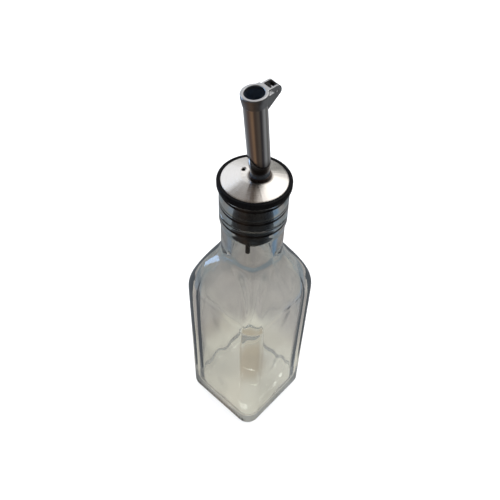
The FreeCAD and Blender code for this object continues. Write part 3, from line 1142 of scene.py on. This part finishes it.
def makeCast(s):
    material, tree, shader = newMaterial("castSteel")
    clouds = noiseOf(tree, s["cloudScale"], 3)
    setShader(tree, shader, {
        "Base Color": blendOver(tree, s["dark"], s["light"], clouds),
        "Roughness": spreadTo(tree, clouds, *s["roughness"]),
        "Metallic": 1,
    })
    addBump(tree, shader, noiseOf(tree, s["skinScale"], 4), s["skinDepth"], s["skinStrength"])
    return material


paint(spoutTip, makeCast(tipFinish))


# Steel of the pin

pinFinish = {
    "dark": (0.6, 0.6, 0.59),
    "light": (0.75, 0.75, 0.74),
    "lineScale": 2600,
    "roughness": (0.12, 0.25),
}


def makePin(s):
    material, tree, shader = newMaterial("pinSteel")
    lines = noiseOf(tree, s["lineScale"], 2)
    setShader(tree, shader, {
        "Base Color": blendOver(tree, s["dark"], s["light"], lines),
        "Roughness": spreadTo(tree, lines, *s["roughness"]),
        "Metallic": 1,
    })
    return material


paint(hingePin, makePin(pinFinish))
print("materials done")


# Floor, lights and cards

stageSizes = {
    "floor": 6.0,                          # m across
    "floorHeight": -0.2,                   # mm
    "glassCardHeight": -0.1,
    "steelCardHeight": -0.15,
    "paper": (0.86, 0.855, 0.85),
    "paperLight": (0.8858, 0.88065, 0.8755),
    "paperScale": 40,
    "paperRoughness": 0.9,
    "front": (0.652, -0.758, 0),           # from the bottle towards the camera
    "right": (0.758, 0.652, 0),
    "underBottle": (0.62, 0.58, 0.50),     # what is seen through the base
    "shadeColour": (0.45, 0.37, 0.265),
    "shadePlace": (-14, 4),                # mm from the axis, to the front and to the right
    "shadeHalf": (8, 23, 1000),            # across, along and up
    "shadeSoft": (1, 0.3),                 # parts of that, where the shade starts and is full
    "behindBottle": (0.345, 0.306, 0.29),  # what is seen through the walls
    "wellBehind": (0.17, 0.195, 0.215),    # what is seen through the neck's foot
    "farBehind": (0.28, 0.28, 0.275),
    # floor colours that the steel mirrors, round the bottle: degrees, from the front towards the right
    "steelRound": (
        (-180, (0.28, 0.29, 0.31)),
        (-130, (0.25, 0.265, 0.29)),
        (-100, (0.125, 0.125, 0.135)),
        (-65, (0.09, 0.063, 0.053)),
        (-30, (0.18, 0.113, 0.072)),
        (-5, (0.053, 0.038, 0.031)),
        (26, (0.077, 0.063, 0.053)),
        (48, (0.028, 0.026, 0.03)),
        (86, (0.23, 0.235, 0.245)),
        (106, (0.12, 0.122, 0.12)),
        (140, (0.25, 0.25, 0.265)),
        (180, (0.28, 0.29, 0.31)),
    ),
    # floor colours seen through the glass, going round in the same way
    "glassRound": (
        (-180, (0.25, 0.225, 0.213)),
        (-138, (0.24, 0.24, 0.245)),
        (-110, (0.20, 0.24, 0.29)),
        (-75, (0.15, 0.16, 0.18)),
        (-20, (0.16, 0.155, 0.15)),
        (30, (0.14, 0.138, 0.135)),
        (75, (0.14, 0.16, 0.19)),
        (110, (0.12, 0.20, 0.30)),
        (138, (0.24, 0.228, 0.22)),
        (180, (0.25, 0.225, 0.213)),
    ),
    "baseReach": (34, 60),                 # mm from the axis: one zone's end and the next one's start
    "roundReach": (70, 108),
    "wellReach": (140, 185),
    "farReach": (235, 320),
    "mottle": (0.82, 1.14),                # brightness of the glass card's clouds
    "mottleScale": 30,
    "slope": (-0.06, 0.15),                # what is added to it, from left to right
    "slopeReach": (-25, 25),
    # lights: name, place and aim in m, size, power and colour
    "lights": (
        ("overheadLight", (-0.16, 0.55, 1.2), (0, 0, 0.15), (0.45, 0.45), 8, (1, 0.98, 0.95)),
        ("windowLight", (-1.0, 0.0, 0.35), (0, 0, 0.12), (0.35, 0.5), 5, (0.62, 0.78, 1)),
    ),
    "daylight": (1.1, 1.1, 1.1),           # what the camera and the floor get
    # rooms of soft lobes: aim up, to the front and to the right, colour, degrees where it ends and is full
    "steelRoom": (0.05, 0.05, 0.055),
    "steelLobes": (
        ((1, 0, 0), (0.16, 0.13, 0.11), 50, 20),
        ((0.75, -0.66, 0), (0.50, 0.51, 0.53), 35, 12),
        ((0.33, -0.93, -0.1), (0.75, 0.75, 0.76), 30, 12),
        ((0.42, -0.83, 0.26), (0.13, 0.135, 0.12), 20, 9),
        ((0.5, -0.70, -0.50), (1.05, 1.07, 1.12), 28, 22),
        ((0.78, -0.45, 0.42), (1.7, 1.65, 1.6), 34, 22),
        ((0.08, -0.3, -0.95), (3.2, 5.0, 8.0), 12, 8),      # window
    ),
    "glassRoom": (0.22, 0.27, 0.31),
    "glassLobes": (
        ((1, 0, 0), (0.48, 0.48, 0.48), 75, 20),
        ((0.08, -0.3, -0.95), (0.45, 0.75, 1.2), 32, 15),   # window
        ((0.78, -0.45, 0.42), (1.0, 0.98, 0.95), 26, 14),
        ((0.9, -0.42, 0.12), (70, 70, 68), 4.5, 3),         # lamp
    ),
}


def addPlane(name, size, height):
    bpy.ops.object.select_all(action="DESELECT")
    bpy.ops.mesh.primitive_plane_add(size=size, location=(0, 0, height * mm))
    plane = bpy.context.object
    plane.name = name
    return plane


def showTo(plane, camera=False, diffuse=False, glossy=False, transmission=False, shadow=False):
    plane.visible_camera = camera
    plane.visible_diffuse = diffuse
    plane.visible_glossy = glossy
    plane.visible_transmission = transmission
    plane.visible_shadow = shadow


def addFloor(s):
    floor = addPlane("paleFloor", s["floor"], s["floorHeight"])
    showTo(floor, camera=True, diffuse=True, shadow=True)
    material, tree, shader = newMaterial("palePaper")
    clouds = noiseOf(tree, s["paperScale"], 3)
    setShader(tree, shader, {
        "Base Color": blendOver(tree, s["paper"], s["paperLight"], clouds),
        "Roughness": s["paperRoughness"],
    })
    paint(floor, material)


def glowMaterial(name):
    material = bpy.data.materials.new(name)
    material.use_nodes = True
    tree = material.node_tree
    tree.nodes.clear()
    glow = addNode(tree, "ShaderNodeEmission")
    addNode(tree, "ShaderNodeOutputMaterial", Surface=glow.outputs["Emission"])
    return material, tree, glow


def lobeOf(tree, direction, axis, outer, inner):
    # 1 where the direction is within inner degrees of the axis, 0 beyond outer degrees
    aim = vectorOf(tree, "DOT_PRODUCT", direction, axis.normalized())
    return smoothStep(tree, aim, math.cos(math.radians(outer)), math.cos(math.radians(inner)))


def rampRound(tree, s, stops):
    # a colour for each direction round the bottle
    place = placeOf(tree)
    right, front = (vectorOf(tree, "DOT_PRODUCT", place, s[name]) for name in ("right", "front"))
    turn = mathOf(tree, "ARCTAN2", right, front)
    ramp = addNode(tree, "ShaderNodeValToRGB", Fac=spreadTo(tree, turn, 0, 1, -math.pi, math.pi))
    ramp.color_ramp.interpolation = "EASE"
    marks = ramp.color_ramp.elements
    while len(marks) < len(stops):
        marks.new(1)
    for mark, (degrees, colour) in zip(marks, stops):
        mark.position = degrees / 360 + 0.5
        mark.color = (*colour, 1)
    return ramp.outputs["Color"]


def addGlassCard(s):
    # what the light that has passed through the glass finds below and behind it
    card = addPlane("glassCard", s["floor"], s["glassCardHeight"])
    showTo(card, transmission=True)
    material, tree, glow = glowMaterial("glassCard")
    place = placeOf(tree)
    # a long warm shade under the base, towards its far corner
    front, right = Vector(s["front"]), Vector(s["right"])
    forward, aside = s["shadePlace"]
    oval = addNode(tree, "ShaderNodeMapping", vector_type="TEXTURE", Vector=place,
                   Location=(front * forward + right * aside) * mm,
                   Rotation=(0, 0, math.atan2(right.y, right.x)),
                   Scale=Vector(s["shadeHalf"]) * mm)
    within = vectorOf(tree, "LENGTH", oval.outputs["Vector"])
    shade = smoothStep(tree, within, *s["shadeSoft"])
    colour = blendOver(tree, s["underBottle"], s["shadeColour"], shade)
    # one zone after another, going outwards
    reach = vectorOf(tree, "LENGTH", place)
    around = rampRound(tree, s, s["glassRound"])
    zones = (("baseReach", s["behindBottle"]), ("roundReach", around),
             ("wellReach", s["wellBehind"]), ("farReach", s["farBehind"]))
    for name, beyond in zones:
        colour = blendOver(tree, colour, beyond, smoothStep(tree, reach, *inMetres(s[name])))
    mottle = spreadTo(tree, noiseOf(tree, s["mottleScale"], 2), *s["mottle"])
    across = vectorOf(tree, "DOT_PRODUCT", place, right)
    slope = spreadTo(tree, across, *s["slope"], *inMetres(s["slopeReach"]))
    setShader(tree, glow, {"Color": colour, "Strength": mathOf(tree, "ADD", mottle, slope)})
    paint(card, material)


def addSteelCard(s):
    # what the polished steel mirrors from below, going round the bottle
    card = addPlane("steelCard", s["floor"], s["steelCardHeight"])
    showTo(card, glossy=True)
    material, tree, glow = glowMaterial("steelCard")
    setShader(tree, glow, {"Color": rampRound(tree, s, s["steelRound"])})
    paint(card, material)


def addLight(name, place, aim, size, power, colour):
    bpy.ops.object.light_add(type="AREA", location=place)
    light = bpy.context.object
    light.name = name
    light.data.shape = "RECTANGLE"
    light.data.size, light.data.size_y = size
    light.data.energy = power
    light.data.color = colour
    light.rotation_mode = "QUATERNION"
    light.rotation_quaternion = (Vector(aim) - Vector(place)).to_track_quat("-Z", "Y")
    light.visible_transmission = False
    light.visible_glossy = False


def addRoom(tree, s, colour, lobes):
    direction = addNode(tree, "ShaderNodeTexCoord").outputs["Generated"]
    axes = Matrix(((0, 0, 1), s["front"], s["right"])).transposed()
    for aim, light, outer, inner in lobes:
        share = lobeOf(tree, direction, axes @ Vector(aim), outer, inner)
        colour = blendOver(tree, colour, light, share)
    return colour


def addWorld(s):
    # white for the camera and the floor, a darker room for steel and glass
    world = bpy.data.worlds.new("studio")
    bpy.context.scene.world = world
    world.use_nodes = True
    world.cycles.sampling_method = "NONE"
    tree = world.node_tree
    steelRoom = addRoom(tree, s, s["steelRoom"], s["steelLobes"])
    glassRoom = addRoom(tree, s, s["glassRoom"], s["glassLobes"])
    path = addNode(tree, "ShaderNodeLightPath")
    colour = blendOver(tree, s["daylight"], steelRoom, path.outputs["Is Glossy Ray"])
    colour = blendOver(tree, colour, glassRoom, path.outputs["Is Transmission Ray"])
    feed(tree, colour, tree.nodes["Background"].inputs["Color"])


addFloor(stageSizes)
addGlassCard(stageSizes)
addSteelCard(stageSizes)
for light in stageSizes["lights"]:
    addLight(*light)
addWorld(stageSizes)
glassBottle.visible_shadow = False
print("stage done")
